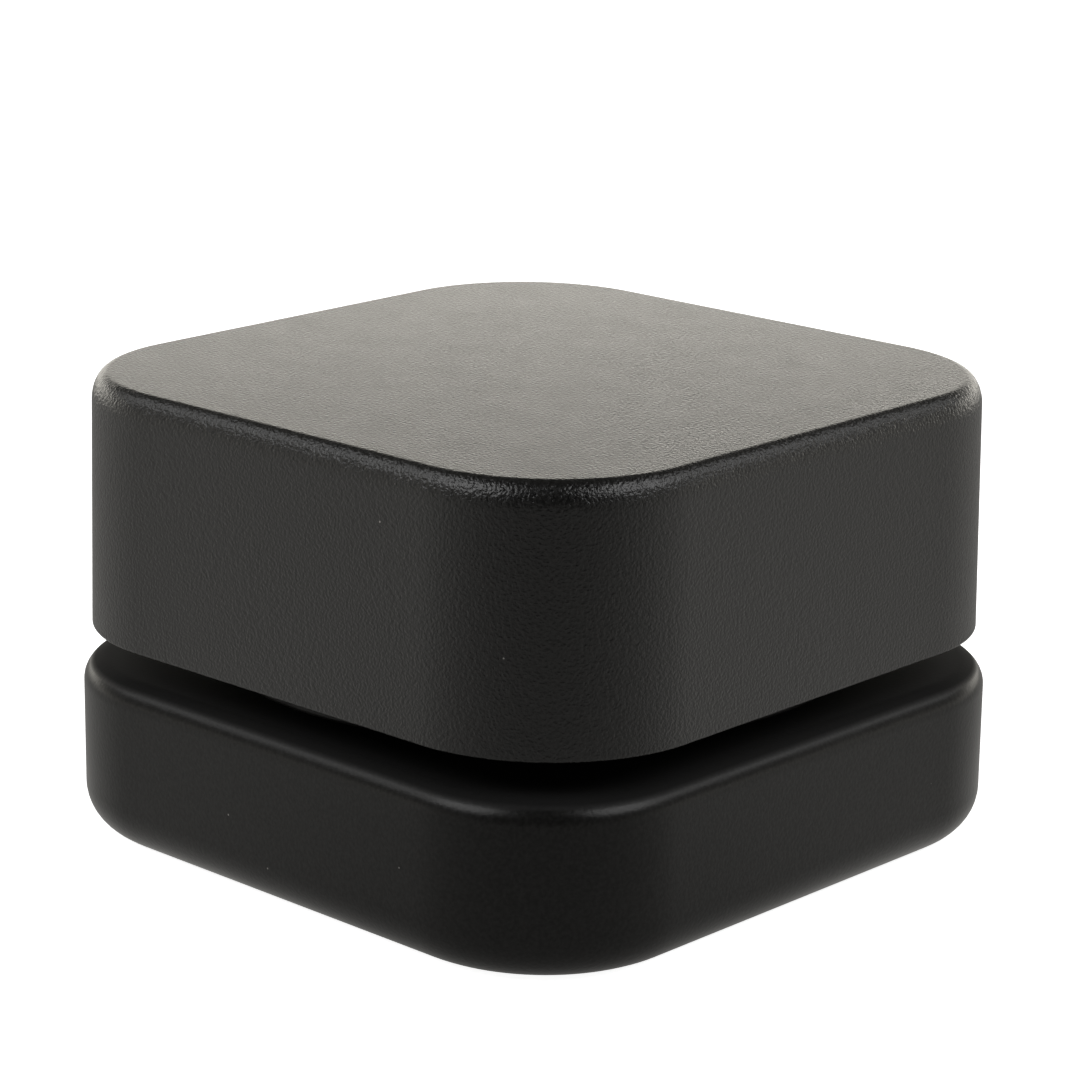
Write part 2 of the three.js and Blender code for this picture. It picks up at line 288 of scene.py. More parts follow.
def ridge(angles, z, thread):
    """How far a screw ridge stands up at height z, from 0 to 1, at each angle."""
    span = THREAD_TURNS * TURN
    height = np.zeros(angles.shape)
    for turns in (-1, 0, 1, 2):
        angle = angles + turns * TURN
        from_end = np.minimum(angle - thread["start"], thread["start"] + span - angle)
        middle = thread["z"] + LEAD * angle / TURN
        flank = (thread["root"] - thread["crest"]) / 2
        side = smooth((thread["root"] / 2 - np.abs(z - middle)) / flank)
        height = np.maximum(height, side * smooth(from_end / THREAD_TAPER))
    return height


# --- the jar ---

THREAD_ROW = 0.1  # the height of one row of faces on a thread
PUSH_UP_RINGS = (3, 6, 9)
PUSH_UP_STEPS = 8
BASE_STEPS = 12
BODY_ROWS = 4
SHOULDER_STEPS = 14
NECK_FOOT_STEPS = 6
NECK_RIM_STEPS = 7
HOLLOW_ROWS = 6
FLOOR_STEPS = 10
FLOOR_RINGS = (7, 4, 2)


def jar_base_rings():
    """The underside, from the middle of the shallow hollow out to the base's round."""
    slope_top = PUSH_UP_R - PUSH_UP_SLOPE
    radii = (*PUSH_UP_RINGS, slope_top - HOLD)
    rings = [round_ring(r, PUSH_UP_DEPTH, JAR_ANGLES) for r in radii]
    for t in np.linspace(0, 1, PUSH_UP_STEPS + 1):
        radius = slope_top + PUSH_UP_SLOPE * t
        rings.append(round_ring(radius, PUSH_UP_DEPTH * (1 - smooth(t)), JAR_ANGLES))
    rings.append(round_ring(PUSH_UP_R + HOLD, 0, JAR_ANGLES))
    inset = BASE_FILLET + HOLD
    rings.append(square_ring(JAR_SIDE - 2 * inset, JAR_CORNER_R - inset, 0))
    return rings


def jar_body_rings():
    """The square walls, from the base's round to the flat of the shoulder."""
    rings = []
    for x, z in arc(-BASE_FILLET, BASE_FILLET, BASE_FILLET, -90, 0, BASE_STEPS):
        rings.append(square_ring(JAR_SIDE + 2 * x, JAR_CORNER_R + x, z))
    wall_top = SHOULDER_Z - SHOULDER_FILLET
    for z in np.linspace(BASE_FILLET + HOLD, wall_top - HOLD, BODY_ROWS):
        rings.append(square_ring(JAR_SIDE, JAR_CORNER_R, z))
    for x, z in arc(-SHOULDER_FILLET, wall_top, SHOULDER_FILLET, 0, 90, SHOULDER_STEPS):
        rings.append(square_ring(JAR_SIDE + 2 * x, JAR_CORNER_R + x, z))
    inset = SHOULDER_FILLET + HOLD
    rings.append(square_ring(JAR_SIDE - 2 * inset, JAR_CORNER_R - inset, SHOULDER_Z))
    return rings


def jar_neck_rings():
    """The outside of the neck with its thread, up to the rim."""
    foot_r = NECK_R + NECK_FOOT_FILLET
    wall_low, wall_high = SHOULDER_Z + NECK_FOOT_FILLET, NECK_TOP_Z - RIM_ROUND
    rings = [round_ring(foot_r + HOLD, SHOULDER_Z, JAR_ANGLES)]
    for r, z in arc(foot_r, wall_low, NECK_FOOT_FILLET, -90, -180, NECK_FOOT_STEPS):
        rings.append(round_ring(r, z, JAR_ANGLES))
    rows = round((wall_high - wall_low) / THREAD_ROW)
    for z in np.linspace(wall_low, wall_high, rows + 1)[1:-1]:
        radius = NECK_R + THREAD_HEIGHT * ridge(JAR_ANGLES, z, JAR_THREAD)
        rings.append(round_ring(radius, z, JAR_ANGLES))
    for r, z in arc(NECK_R - RIM_ROUND, wall_high, RIM_ROUND, 0, 90, NECK_RIM_STEPS):
        rings.append(round_ring(r, z, JAR_ANGLES))
    return rings


def jar_hollow_rings():
    """The inside, from the rim down to the floor."""
    wall_low, wall_high = FLOOR_Z + FLOOR_FILLET, NECK_TOP_Z - RIM_ROUND
    flat_r = BORE_R - FLOOR_FILLET
    rings = []
    for r, z in arc(BORE_R + RIM_ROUND, wall_high, RIM_ROUND, 90, 180, NECK_RIM_STEPS):
        rings.append(round_ring(r, z, JAR_ANGLES))
    for z in np.linspace(wall_high - HOLD, wall_low + HOLD, HOLLOW_ROWS):
        rings.append(round_ring(BORE_R, z, JAR_ANGLES))
    for r, z in arc(flat_r, wall_low, FLOOR_FILLET, 0, -90, FLOOR_STEPS):
        rings.append(round_ring(r, z, JAR_ANGLES))
    rings += [round_ring(r, FLOOR_Z, JAR_ANGLES) for r in (flat_r - HOLD, *FLOOR_RINGS)]
    return rings


def make_jar():
    rings = jar_base_rings() + jar_body_rings() + jar_neck_rings() + jar_hollow_rings()
    return skin("jar_body", rings, (0, 0, PUSH_UP_DEPTH), (0, 0, FLOOR_Z), SHARP_JAR)


# --- the outer cap ---

LUG_STEPS = 4
MIN_CORNER_R = 0.1
CAP_UNDER_INSETS = (14, 8, 4)
CAP_INNER_STEPS = 5
CAP_INNER_ROWS = 4
CAP_RIM_STEPS = 4
CAP_WALL_ROWS = 6
CAP_EDGE_STEPS = 20
CAP_TOP_INSETS = (2.5, 5, 8.5, 12, 16)
BEAD_STEPS = 3


def lug_blocks(bottom_z, top_z, width, phase):
    """The ring of drive lugs. The first one's middle is at phase."""
    section = (
        (LUG_INNER_R, bottom_z),
        (LUG_INNER_R, top_z),
        (LUG_OUTER_R, top_z),
        (LUG_OUTER_R, bottom_z),
    )
    lugs = []
    for i in range(LUG_COUNT):
        middle = phase + i * TURN / LUG_COUNT

        def outline(t, middle=middle):
            angle = middle + width * (t - 0.5)
            c, s = math.cos(angle), math.sin(angle)
            return [(r * c, r * s, z) for r, z in section]

        lugs.append(block("lug", outline, LUG_STEPS))
    return lugs


def cap_side(z):
    """The outer width of the cap's walls, which open towards the rim."""
    return CAP_RIM_SIDE - CAP_DRAFT * (z - CAP_RIM_Z) / (CAP_TOP_Z - CAP_RIM_Z)


def cap_shell():
    """The square shell, from the middle of its underside out over the rim to the top."""
    rings = []

    def level(inset, z):
        corner_r = max(CAP_CORNER_R - inset, MIN_CORNER_R)
        rings.append(square_ring(cap_side(z) - 2 * inset, corner_r, z))

    centre = CAP_WALL + CAP_INNER_FILLET
    for inset in (*CAP_UNDER_INSETS, centre + HOLD):
        level(inset, CAP_UNDER_Z)
    inner_top = CAP_UNDER_Z - CAP_INNER_FILLET
    for inset, z in arc(centre, inner_top, CAP_INNER_FILLET, 90, 180, CAP_INNER_STEPS):
        level(inset, z)
    round_z = CAP_RIM_Z + CAP_RIM_ROUND
    for z in np.linspace(inner_top - HOLD, round_z + HOLD, CAP_INNER_ROWS):
        level(CAP_WALL, z)
    for inset, z in arc(CAP_WALL - CAP_RIM_ROUND, round_z, CAP_RIM_ROUND, 0, -90, CAP_RIM_STEPS):
        level(inset, z)
    for inset, z in arc(CAP_RIM_ROUND, round_z, CAP_RIM_ROUND, -90, -180, CAP_RIM_STEPS):
        level(inset, z)
    edge_z = CAP_TOP_Z - CAP_EDGE_DROP
    for z in np.linspace(round_z + HOLD, edge_z - HOLD, CAP_WALL_ROWS):
        level(0, z)
    for x, z in arc(0, 0, 1, 0, 90, CAP_EDGE_STEPS):
        level(CAP_EDGE_INSET * (1 - x), CAP_TOP_Z - CAP_EDGE_DROP * (1 - z))
    for inset in (CAP_EDGE_INSET + HOLD, *CAP_TOP_INSETS):
        level(inset, CAP_TOP_Z)
    return skin("cap_shell", rings, (0, 0, CAP_UNDER_Z), (0, 0, CAP_TOP_Z))


def snap_ring():
    """The round skirt and its bead. It runs up into the plate."""
    top = CAP_UNDER_Z + PLATE_BITE
    outer = RING_R + RING_WALL
    bead_middle_r, bead_middle_z = BEAD_R + BEAD_ROUND, BEAD_TOP_Z - BEAD_ROUND
    profile = [
        (outer, RING_RIM_Z + RING_EDGE),
        (outer, top),
        (RING_R, top),
        (RING_R, BEAD_TOP_Z),
        *arc(bead_middle_r, bead_middle_z, BEAD_ROUND, 90, 180, BEAD_STEPS),
        (BEAD_R, BEAD_FOOT_Z),
        (BEAD_R + BEAD_LEAD_IN, RING_RIM_Z),
        (outer - RING_EDGE, RING_RIM_Z),
    ]
    return skin("snap_ring", [round_ring(r, z, EVEN_ANGLES) for r, z in profile])


def corner_ribs():
    """Upright ribs that tie the round skirt to the square's corners."""
    corner = (CAP_RIM_SIDE / 2 - CAP_CORNER_R) * math.sqrt(2) + CAP_CORNER_R
    inner, outer = RING_R + RING_WALL / 2, corner - CAP_WALL * (1 - RIB_BITE)
    top = CAP_UNDER_Z + PLATE_BITE
    section = ((inner, RIB_BOTTOM_Z), (inner, top), (outer, top), (outer, RIB_BOTTOM_Z))
    ribs = []
    for i in range(len(CORNERS)):
        angle = QUARTER * (i + 0.5)
        along = Vector((math.cos(angle), math.sin(angle), 0))
        across = Vector((-along.y, along.x, 0))

        def outline(t, along=along, across=across):
            side = across * (RIB_THICKNESS * (t - 0.5))
            return [tuple(along * r + side + Vector((0, 0, z))) for r, z in section]

        ribs.append(block("rib", outline))
    return ribs


def make_outer_cap():
    """The cap's lugs stand between the inner cap's."""
    lug_bottom, lug_top = CAP_UNDER_Z - CAP_LUG_HEIGHT, CAP_UNDER_Z + LUG_BITE
    lugs = lug_blocks(lug_bottom, lug_top, CAP_LUG_WIDTH, TURN / LUG_COUNT / 2)
    cap = joined(cap_shell(), [snap_ring(), *corner_ribs(), *lugs])
    cap.name = "cap_outer"
    cap.data.transform(Matrix.Rotation(CAP_TWIST, 4, "Z"))
    return cap


# --- the inner cap ---

INNER_RINGS = (3, 8, 13)
INNER_EDGE_STEPS = 4
FLANGE_LOWER_STEPS = 2
FLANGE_UPPER_STEPS = 3
INNER_BODY_RING_Z = 17.0
INNER_TOP_STEPS = 6
SPRING_STEPS = 16


def inner_outside():
    """The profile from the rim up the outside to the top plate."""
    edge, lower, upper = INNER_EDGE_ROUND, FLANGE_LOWER_ROUND, FLANGE_UPPER_ROUND
    top = INNER_TOP_FILLET
    return [
        *arc(INNER_SKIRT_R - edge, INNER_RIM_Z + edge, edge, -90, 0, INNER_EDGE_STEPS),
        (INNER_SKIRT_R, FLANGE_BOTTOM_Z),
        *arc(FLANGE_R - lower, FLANGE_BOTTOM_Z + lower, lower, -90, 0, FLANGE_LOWER_STEPS),
        *arc(FLANGE_R - upper, FLANGE_TOP_Z - upper, upper, 0, 90, FLANGE_UPPER_STEPS),
        (INNER_BODY_R, FLANGE_TOP_Z),
        (INNER_BODY_R, INNER_BODY_RING_Z),
        *arc(INNER_BODY_R - top, INNER_TOP_Z - top, top, 0, 90, INNER_TOP_STEPS),
        *((r, INNER_TOP_Z) for r in reversed(INNER_RINGS)),
    ]


def inner_wall_rings():
    """The threaded inside of the wall, from the top plate down."""
    edge = INNER_EDGE_ROUND
    low, high = INNER_RIM_Z + edge, INNER_PLATE_Z
    rows = round((high - low) / THREAD_ROW)
    rings = [round_ring(r, high, EVEN_ANGLES) for r in INNER_RINGS]
    for z in np.linspace(high, low, rows + 1):
        radius = INNER_WALL_R - THREAD_HEIGHT * ridge(EVEN_ANGLES, z, CAP_THREAD)
        rings.append(round_ring(radius, z, EVEN_ANGLES))
    for r, z in arc(INNER_WALL_R + edge, low, edge, 180, 270, INNER_EDGE_STEPS)[1:]:
        rings.append(round_ring(r, z, EVEN_ANGLES))
    return rings


def spring_fingers():
    """Curved fingers that rise from the top plate and press on the outer cap."""
    inner, outer = SPRING_R - SPRING_WIDTH / 2, SPRING_R + SPRING_WIDTH / 2
    fingers = []
    for i in range(SPRING_COUNT):
        start = i * TURN / SPRING_COUNT

        def outline(t, start=start):
            angle = start + SPRING_SPAN * t
            c, s = math.cos(angle), math.sin(angle)
            high = INNER_TOP_Z + SPRING_RISE * t
            low = high - SPRING_THICKNESS
            corners = ((inner, low), (inner, high), (outer, high), (outer, low))
            return [(r * c, r * s, z) for r, z in corners]

        fingers.append(block("finger", outline, SPRING_STEPS))
    return fingers


def make_inner_cap():
    rings = inner_wall_rings() + [round_ring(r, z, EVEN_ANGLES) for r, z in inner_outside()]
    shell = skin("cap_inner", rings, (0, 0, INNER_PLATE_Z), (0, 0, INNER_TOP_Z))
    lug_bottom, lug_top = INNER_TOP_Z - LUG_BITE, INNER_TOP_Z + INNER_LUG_HEIGHT
    lugs = lug_blocks(lug_bottom, lug_top, INNER_LUG_WIDTH, 0)
    cap = joined(shell, lugs + spring_fingers())
    cap.data.transform(Matrix.Rotation(CAP_TWIST, 4, "Z"))
    return cap


# --- the liner ---

FILM_EDGE = 0.06
FOAM_EDGE = 0.12
RIM_MARK_DEPTH = 0.04
RIM_MARK_SLOPE = 0.3
LINER_EDGE_STEPS = 3
LINER_UNDER_RADII = (3, 8, 11.5, *np.arange(12.2, 15.0, 0.1))  # close together at the mark
LINER_TOP_RADII = (12, 8, 3)


def liner_disc(name, low, high, edge, mark=0.0):
    """A thin disc with a soft edge. mark is the depth of the glass rim's print below."""
    radius = high[0]
    middle_r = (BORE_R + NECK_R) / 2
    half_width = (NECK_R - BORE_R) / 2
    rings = []
    for r in LINER_UNDER_RADII:
        print_depth = mark * smooth((half_width - abs(r - middle_r)) / RIM_MARK_SLOPE + 0.5)
        rings.append(round_ring(r, low[2] + print_depth, EVEN_ANGLES))
    for r, z in arc(radius - edge, low[2] + edge, edge, -90, 0, LINER_EDGE_STEPS):
        rings.append(round_ring(r, z, EVEN_ANGLES))
    for r, z in arc(radius - edge, high[2] - edge, edge, 0, 90, LINER_EDGE_STEPS):
        rings.append(round_ring(r, z, EVEN_ANGLES))
    rings += [round_ring(r, high[2], EVEN_ANGLES) for r in LINER_TOP_RADII]
    return skin(name, rings, (0, 0, low[2]), (0, 0, high[2]), SHARP_LINER)


# --- nodes, for materials and the studio ---

# The colour sockets of a Mix node, by place, because other sockets have the same names.
MIX_FACTOR, MIX_A, MIX_B, MIX_RESULT = 0, 6, 7, 2


def connect(tree, socket, value):
    """Link another node's output to the socket, or set it to a constant."""
    if isinstance(value, bpy.types.NodeSocket):
        tree.links.new(value, socket)
    else:
        socket.default_value = value


def new_node(tree, kind, inputs=(), **settings):
    made = tree.nodes.new(kind)
    for key, value in settings.items():
        setattr(made, key, value)
    for key, value in dict(inputs).items():
        connect(tree, made.inputs[key], value)
    return made


def mixed(tree, share, a, b, **settings):
    """Colour a, or b where share is 1."""
    inputs = {MIX_FACTOR: share, MIX_A: a, MIX_B: b}
    made = new_node(tree, "ShaderNodeMix", inputs, data_type="RGBA", **settings)
    return made.outputs[MIX_RESULT]


# --- materials ---

# Nearly all of a noise texture's values lie between these two.
NOISE_LOW = 0.3
NOISE_HIGH = 0.7


class Nodes:
    """A material with a Principled shader, and short calls to add nodes before it."""

    def __init__(self, name):
        self.material = bpy.data.materials.new(name)
        self.material.use_nodes = True
        self.tree = self.material.node_tree
        self.shader = self.tree.nodes["Principled BSDF"]
        self.place = self.add("ShaderNodeTexCoord").outputs["Object"]

    def add(self, kind, inputs=(), **settings):
        return new_node(self.tree, kind, inputs, **settings)

    def noise(self, size_mm, detail):
        """Noise whose lumps are about size_mm across."""
        inputs = {"Vector": self.place, "Scale": 1 / (size_mm * MM), "Detail": detail}
        return self.add("ShaderNodeTexNoise", inputs).outputs["Fac"]

    def cells(self, size_mm):
        """A pattern of cells about size_mm across."""
        inputs = {"Vector": self.place, "Scale": 1 / (size_mm * MM)}
        return self.add("ShaderNodeTexVoronoi", inputs).outputs

    def specks(self, spacing_mm, radius_mm, chance):
        """1 on a few round specks, one at most in each cell of spacing_mm."""
        cell = self.cells(spacing_mm)
        edge = radius_mm / spacing_mm
        near = self.remap(cell["Distance"], edge, edge / 2, 0, 1)
        pick = self.add("ShaderNodeSeparateColor", {"Color": cell["Color"]}).outputs["Red"]
        chosen = self.math("LESS_THAN", pick, chance)
        return self.math("MULTIPLY", near, chosen)

    def remap(self, value, from_low, from_high, to_low, to_high):
        inputs = {
            "Value": value,
            "From Min": from_low,
            "From Max": from_high,
            "To Min": to_low,
            "To Max": to_high,
        }
        return self.add("ShaderNodeMapRange", inputs).outputs["Result"]

    def spread(self, noise, low, high):
        """Noise, stretched to run from low to high."""
        return self.remap(noise, NOISE_LOW, NOISE_HIGH, low, high)

    def math(self, operation, a, b):
        return self.add("ShaderNodeMath", {0: a, 1: b}, operation=operation).outputs[0]

    def mix(self, share, a, b):
        return mixed(self.tree, share, a, b)

    def bump(self, height, depth_mm, normal=None):
        inputs = {"Height": height, "Strength": 1.0, "Distance": depth_mm * MM}
        if normal is not None:
            inputs["Normal"] = normal
        return self.add("ShaderNodeBump", inputs).outputs["Normal"]

    def set(self, **values):
        for key, value in values.items():
            connect(self.tree, self.shader.inputs[key.replace("_", " ")], value)
        return self.material


def grey(level, warmth=0.0):
    """A grey of that linear level, a little red over blue if warmth is above 0."""
    return (level * (1 + warmth), level, level * (1 - warmth), 1)


def cap_plastic():
    """Black moulded plastic with a fine spark-eroded grain."""
    n = Nodes("cap_plastic")
    grain = n.noise(size_mm=0.16, detail=1.5)
    mottle = n.noise(size_mm=2.5, detail=3.0)
    dust = n.specks(spacing_mm=1.8, radius_mm=0.07, chance=0.25)
    # The grain itself is real, but its colour is painted: darker in its hollows as painted shade
    # and lighter on its tips as painted light. The specks are real dust.
    shaded_hollows, lit_tips = grey(0.0005, warmth=0.03), grey(0.0075, warmth=0.03)
    colour = n.mix(n.spread(grain, low=0, high=1), shaded_hollows, lit_tips)
    colour = n.mix(dust, colour, grey(0.30, warmth=0.05))
    patches, points = n.spread(mottle, low=0.28, high=0.30), n.spread(grain, low=0, high=0.05)
    rough = n.math("ADD", patches, points)
    normal = n.bump(grain, depth_mm=0.055)
    return n.set(Base_Color=colour, Roughness=rough, Normal=normal, IOR=1.5)


def inner_plastic():
    """The plainer black plastic of the threaded inner cap."""
    n = Nodes("inner_plastic")
    mottle = n.noise(size_mm=1.6, detail=3.0)
    grain = n.noise(size_mm=0.2, detail=2.0)
    colour = n.mix(mottle, grey(0.008, warmth=0.02), grey(0.012, warmth=0.02))
    rough = n.spread(mottle, low=0.38, high=0.5)
    normal = n.bump(grain, depth_mm=0.006)
    return n.set(Base_Color=colour, Roughness=rough, Normal=normal, IOR=1.5)


# From the top of the shoulder up the coat is dull, and its colour is painted darker as painted
# shade of the gap under the cap.
GAP_SHADE_FULL_Z = SHOULDER_Z - 0.2
GAP_SHADE_START_Z = SHOULDER_Z - 0.45


def coated_glass():
    """Black glass with a satin coat, a little uneven, as sprayed."""
    n = Nodes("coated_glass")
    peel = n.noise(size_mm=0.9, detail=2.0)
    fine = n.noise(size_mm=0.2, detail=1.5)
    cloud = n.noise(size_mm=6.0, detail=3.0)
    dust = n.specks(spacing_mm=1.5, radius_mm=0.07, chance=0.35)
    dark, light = grey(0.005, warmth=0.02), grey(0.011, warmth=0.02)
    colour = n.mix(n.spread(fine, low=0, high=1), dark, light)
    colour = n.mix(dust, colour, grey(0.25, warmth=0.04))
    height = n.add("ShaderNodeSeparateXYZ", {"Vector": n.place}).outputs["Z"]
    gap_shade_and_dull = n.remap(height, GAP_SHADE_START_Z * MM, GAP_SHADE_FULL_Z * MM, 0, 1)
    # Painted shade: from the top of the shoulder up the colour goes near black, for the shade in
    # the gap under the cap.
    colour = n.mix(gap_shade_and_dull, colour, grey(0.004))
    satin = n.spread(cloud, low=0.28, high=0.32)
    rough = n.remap(gap_shade_and_dull, 0, 1, satin, 0.85)
    normal = n.bump(peel, depth_mm=0.003, normal=n.bump(fine, depth_mm=0.010))
    looks = {"Base_Color": colour, "Roughness": rough, "Normal": normal}
    return n.set(**looks, IOR=1.37, Specular_IOR_Level=0.36)


def liner_foam():
    """Off-white closed-cell foam."""
    n = Nodes("liner_foam")
    height = n.cells(size_mm=0.22)["Distance"]
    colour = n.mix(height, (0.62, 0.60, 0.54, 1), (0.80, 0.79, 0.74, 1))
    return n.set(Base_Color=colour, Roughness=0.85, Normal=n.bump(height, depth_mm=0.03))


def liner_film():
    """The smooth satin face of the liner, with faint calender lines."""
    n = Nodes("liner_film")
    cloud = n.noise(size_mm=4.0, detail=4.0)
    line_inputs = {"Vector": n.place, "Scale": 1 / (1.2 * MM), "Distortion": 1.5}
    lines = n.add("ShaderNodeTexWave", line_inputs).outputs["Fac"]
    colour = n.mix(cloud, (0.80, 0.80, 0.77, 1), (0.88, 0.88, 0.86, 1))
    rough = n.spread(cloud, low=0.28, high=0.4)
    return n.set(Base_Color=colour, Roughness=rough, Normal=n.bump(lines, depth_mm=0.002))


# --- putting the pieces on the frame ---


def place(piece, node, body, material):
    """Give the piece its material, and let it stand for a CAD node on a body."""
    piece.data.materials.clear()
    piece.data.materials.append(material)
    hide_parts(node)
    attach(piece, body)


place(make_jar(), "glass_jar", "jar", coated_glass())
place(make_outer_cap(), "outer_cap", "outer_cap", cap_plastic())
place(make_inner_cap(), "inner_cap", "inner_cap", inner_plastic())
film = liner_disc("film_disc", film_low, film_high, FILM_EDGE, RIM_MARK_DEPTH)
place(film, "liner_film", "liner", liner_film())
foam = liner_disc("foam_disc", foam_low, foam_high, FOAM_EDGE)
place(foam, "liner_foam", "liner", liner_foam())

# --- camera ---

CAMERA_AZIMUTH = math.radians(43.18)
CAMERA_ELEVATION = math.radians(15.73)
CAMERA_ROLL = math.radians(0.75)
CAMERA_DISTANCE = 197.5
CAMERA_AIM = (0.22, 15.145)  # right of and above the origin, across the view
CAMERA_LENS = 122.95
CAMERA_SENSOR = 36.0
CAMERA_CLIP = 10


def camera_axes():
    """The camera's right, up and back directions."""
    a, e = CAMERA_AZIMUTH, CAMERA_ELEVATION
    back = Vector((math.sin(a) * math.cos(e), -math.cos(a) * math.cos(e), math.sin(e)))
    level = Vector((math.cos(a), math.sin(a), 0))
    upright = back.cross(level)
    right = level * math.cos(CAMERA_ROLL) + upright * math.sin(CAMERA_ROLL)
    return right, back.cross(right), back


def add_camera():
    right, up, back = camera_axes()
    data = bpy.data.cameras.new("camera")
    data.lens = CAMERA_LENS
    data.sensor_width = CAMERA_SENSOR
    data.clip_start = CAMERA_CLIP * MM
    camera = bpy.data.objects.new("camera", data)
    at = right * CAMERA_AIM[0] + up * CAMERA_AIM[1] + back * CAMERA_DISTANCE
    turn = Matrix((right, up, back)).transposed().to_4x4()
    camera.matrix_world = Matrix.Translation(at * MM) @ turn
    bpy.context.scene.collection.objects.link(camera)
    bpy.context.scene.camera = camera


add_camera()

# --- the studio: a pale sweep, bright at the back and sides, dark in front ---

FRONT = Vector((math.sin(CAMERA_AZIMUTH), -math.cos(CAMERA_AZIMUTH), 0))
RIGHT = Vector((math.cos(CAMERA_AZIMUTH), math.sin(CAMERA_AZIMUTH), 0))


def ramp(tree, value, stops, tint=(1, 1, 1)):
    """A smooth grey curve through (position, level) stops, as a colour."""
    curve = new_node(tree, "ShaderNodeValToRGB", {"Fac": value})
    curve.color_ramp.interpolation = "B_SPLINE"
    points = curve.color_ramp.elements
    while len(points) < len(stops):
        points.new(0.5)  # the loop below moves it to its place
    for point, (position, level) in zip(points, stops):
        point.position = position
        point.color = (level * tint[0], level * tint[1], level * tint[2], 1)
    return curve.outputs["Color"]


def facing_camera(tree, direction, blur=0.0):
    """0 for a level direction straight away from the camera, 1 for one towards it.
    Places closer to the middle than blur are all near 0.5."""
    level_inputs = {0: direction, 1: (1, 1, 0), 2: (0, 0, blur)}
    level = new_node(tree, "ShaderNodeVectorMath", level_inputs, operation="MULTIPLY_ADD")
    unit_inputs = {0: level.outputs[0]}
    unit = new_node(tree, "ShaderNodeVectorMath", unit_inputs, operation="NORMALIZE")
    share_inputs = {0: unit.outputs[0], 1: tuple(FRONT)}
    share = new_node(tree, "ShaderNodeVectorMath", share_inputs, operation="DOT_PRODUCT")
    inputs = {"Value": share.outputs["Value"], "From Min": -1, "From Max": 1}
    return new_node(tree, "ShaderNodeMapRange", inputs).outputs["Result"]


def shader_mix(tree, share, a, b):
    """Shader a, or b where share is 1."""
    return new_node(tree, "ShaderNodeMixShader", {0: share, 1: a, 2: b}).outputs[0]


def is_camera_ray(tree):
    return new_node(tree, "ShaderNodeLightPath").outputs["Is Camera Ray"]


WHITE = (1, 1, 1, 1)
BLACK = (0, 0, 0, 1)

# Levels of the walls round the object, by direction, from the back to the camera's side.
HORIZON = ((0.0, 0.85), (0.2, 0.80), (0.4, 0.60), (0.6, 0.46), (0.8, 0.20), (1.0, 0.03))
# What they are multiplied by, from the horizon (0) to straight up (1).
HEIGHT = (
    (0.0, 1.0),
    (0.08, 1.0),
    (0.14, 0.60),
    (0.20, 0.24),
    (0.30, 0.11),
    (0.45, 0.08),
    (0.7, 0.06),
)
WARM = (1.0, 0.965, 0.88)
WORLD_STRENGTH = 2.0


def add_world():
    """Bright and a little warm at the back, dark overhead and behind the camera.
    The camera itself sees white."""
    world = bpy.data.worlds.new("studio")
    world.use_nodes = True
    tree = world.node_tree
    tree.nodes.clear()
    direction = new_node(tree, "ShaderNodeTexCoord").outputs["Generated"]
    around = ramp(tree, facing_camera(tree, direction), HORIZON, WARM)
    height = new_node(tree, "ShaderNodeSeparateXYZ", {"Vector": direction}).outputs["Z"]
    level = mixed(tree, 1.0, around, ramp(tree, height, HEIGHT), blend_type="MULTIPLY")
    walls = {"Color": level, "Strength": WORLD_STRENGTH}
    studio = new_node(tree, "ShaderNodeBackground", walls).outputs[0]
    white = new_node(tree, "ShaderNodeBackground", {"Color": WHITE, "Strength": 1}).outputs[0]
    shown = shader_mix(tree, is_camera_ray(tree), studio, white)
    out = new_node(tree, "ShaderNodeOutputWorld")
    tree.links.new(shown, out.inputs["Surface"])
    bpy.context.scene.world = world


# Levels of the floor as the object sees it, from the back to the camera's side.
FLOOR = (
    (0.0, 0.30),
    (0.25, 0.40),
    (0.5, 0.71),
    (0.62, 0.72),
    (0.74, 0.64),
    (0.88, 0.43),
    (1.0, 0.28),
)
FLOOR_WARM = (1.0, 0.985, 0.945)
FLOOR_SIZE = 1.5  # metres, from the middle to each side
FLOOR_DROP = 0.02
FLOOR_BLUR = 0.018  # metres
FLOOR_MATTE = 0.3
FLOOR_GLOW = 0.80
SHEET_MATTE = (0.8, 0.8, 0.8, 1)
SHEET_GLOW = 0.94


def floor_material():
    """A white sheet to the camera. To the object it is darker towards the camera.
    It is clear from below, so that the base can be seen."""
    material = bpy.data.materials.new("floor")
    material.use_nodes = True
    tree = material.node_tree
    tree.nodes.clear()

    def surface(matte_colour, glow_colour, glow):
        matte = new_node(tree, "ShaderNodeBsdfDiffuse", {"Color": matte_colour}).outputs[0]
        light = {"Color": glow_colour, "Strength": glow}
        shine = new_node(tree, "ShaderNodeEmission", light).outputs[0]
        return new_node(tree, "ShaderNodeAddShader", {0: matte, 1: shine}).outputs[0]

    spot = new_node(tree, "ShaderNodeTexCoord").outputs["Object"]
    level = ramp(tree, facing_camera(tree, spot, FLOOR_BLUR), FLOOR, FLOOR_WARM)
    around = surface(mixed(tree, FLOOR_MATTE, BLACK, level), level, FLOOR_GLOW)
    sheet = surface(SHEET_MATTE, WHITE, SHEET_GLOW)
    shown = shader_mix(tree, is_camera_ray(tree), around, sheet)
    below = new_node(tree, "ShaderNodeNewGeometry").outputs["Backfacing"]
    clear = new_node(tree, "ShaderNodeBsdfTransparent").outputs[0]
    out = new_node(tree, "ShaderNodeOutputMaterial")
    tree.links.new(shader_mix(tree, below, shown, clear), out.inputs["Surface"])
    return material


def add_floor():
    """A level sheet a hair under the object."""
    side, z = FLOOR_SIZE, -FLOOR_DROP * MM
    mesh = bpy.data.meshes.new("floor")
    corners = [(sx * side, sy * side, z) for sx, sy in CORNERS]
    mesh.from_pydata(corners, [], [(0, 1, 2, 3)])
    mesh.materials.append(floor_material())
    floor = bpy.data.objects.new("floor", mesh)
    bpy.context.scene.collection.objects.link(floor)


